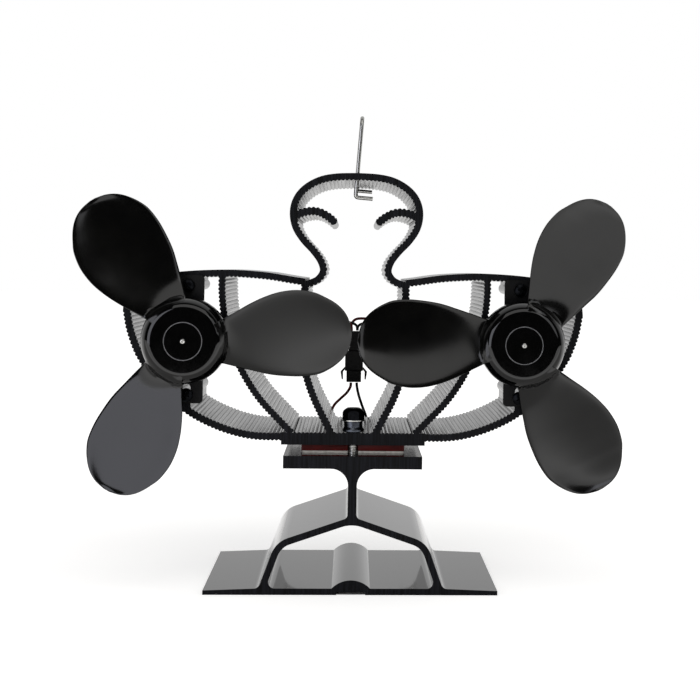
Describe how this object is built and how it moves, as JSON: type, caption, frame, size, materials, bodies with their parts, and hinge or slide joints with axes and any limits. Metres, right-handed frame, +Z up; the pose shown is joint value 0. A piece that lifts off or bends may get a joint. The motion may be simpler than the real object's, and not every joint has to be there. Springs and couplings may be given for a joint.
{
  "type": "stove fan",
  "caption": "Heat-powered stove fan: twin three-bladed propellers on a finned heat sink over a thermoelectric module, on an arched stand with a bail handle.",
  "frame": {"origin": "the middle of the outer box, on the surface that the stand rests on", "axes": "X runs along the two fans, from the left one to the right one as seen from the front; Y runs from the front to the back; Z up"},
  "size_m": [0.212, 0.0896, 0.1894],
  "materials": {
    "anodised_aluminium": "black anodised, satin",
    "bracket_paint": "black coated steel sheet",
    "blade_plastic": "black, glossy hub and satin blades",
    "black_screw": "black oxide steel",
    "bright_steel": "bright plated steel",
    "bimetal": "rolled strip",
    "graphite": "graphite foil",
    "ceramic": "white ceramic",
    "sealant": "dark red silicone",
    "gasket": "light ceramic fibre",
    "pellet": "pressed semiconductor",
    "sintered_bronze": "sintered, dull",
    "magnet": "ferrite",
    "copper": "enamelled copper",
    "lamination": "stamped sheet stack",
    "cap_plastic": "black moulded",
    "red_lead": "red silicone insulation",
    "black_lead": "black silicone insulation"
  },
  "bodies": {
    "frame": {"base_stand": "anodised_aluminium", "bimetal_screw": "bright_steel", "bimetal_strip": "bimetal", "bracket_screw_left_lower": "black_screw", "bracket_screw_left_upper": "black_screw", "bracket_screw_right_lower": "black_screw", "bracket_screw_right_upper": "black_screw", "brush_left_minus": "copper", "brush_left_plus": "copper", "brush_right_minus": "copper", "brush_right_plus": "copper", "clamp_collar": "bright_steel", "clamp_screw_front": "black_screw", "clamp_screw_rear": "black_screw", "clamp_washer": "bright_steel", "cold_pad": "graphite", "connector_plug": "cap_plastic", "connector_socket": "cap_plastic", "front_bush_left": "sintered_bronze", "front_bush_right": "sintered_bronze", "heat_sink": "anodised_aluminium", "hot_pad": "graphite", "module_cold_ceramic": "ceramic", "module_gasket_front": "gasket", "module_gasket_rear": "gasket", "module_hot_ceramic": "ceramic", "module_lead_black": "black_lead", "module_lead_red": "red_lead", "module_pellets": "pellet", "module_seal": "sealant", "motor_bracket_left": "bracket_paint", "motor_bracket_right": "bracket_paint", "motor_can_left": "bright_steel", "motor_can_right": "bright_steel", "motor_end_cap_left": "cap_plastic", "motor_end_cap_right": "cap_plastic", "motor_lead_left_black": "black_lead", "motor_lead_left_red": "red_lead", "motor_lead_right_black": "black_lead", "motor_lead_right_red": "red_lead", "motor_magnet_left": "magnet", "motor_magnet_right": "magnet", "motor_screw_left_lower": "bright_steel", "motor_screw_left_upper": "bright_steel", "motor_screw_right_lower": "bright_steel", "motor_screw_right_upper": "bright_steel", "rear_bush_left": "sintered_bronze", "rear_bush_right": "sintered_bronze"},
    "left_fan": {"propeller_left": "blade_plastic", "motor_shaft_left": "bright_steel", "rotor_core_left": "lamination", "rotor_coils_left": "copper", "commutator_left": "copper"},
    "right_fan": {"propeller_right": "blade_plastic", "motor_shaft_right": "bright_steel", "rotor_core_right": "lamination", "rotor_coils_right": "copper", "commutator_right": "copper"},
    "bail": {"handle": "bright_steel"}
  },
  "joints": [
    {"name": "left_fan_spin", "type": "hinge", "parent": "frame", "child": "left_fan", "pos_m": [-0.064, -0.03519, 0.0978], "axis": [0, 1, 0], "continuous": true},
    {"name": "right_fan_spin", "type": "hinge", "parent": "frame", "child": "right_fan", "pos_m": [0.066, -0.03519, 0.0978], "axis": [0, 1, 0], "continuous": true},
    {"name": "handle_slide", "type": "slide", "parent": "frame", "child": "bail", "axis": [0.0697, -0.0523, 0.9962], "range_m": [-0.019, 0]}
  ]
}
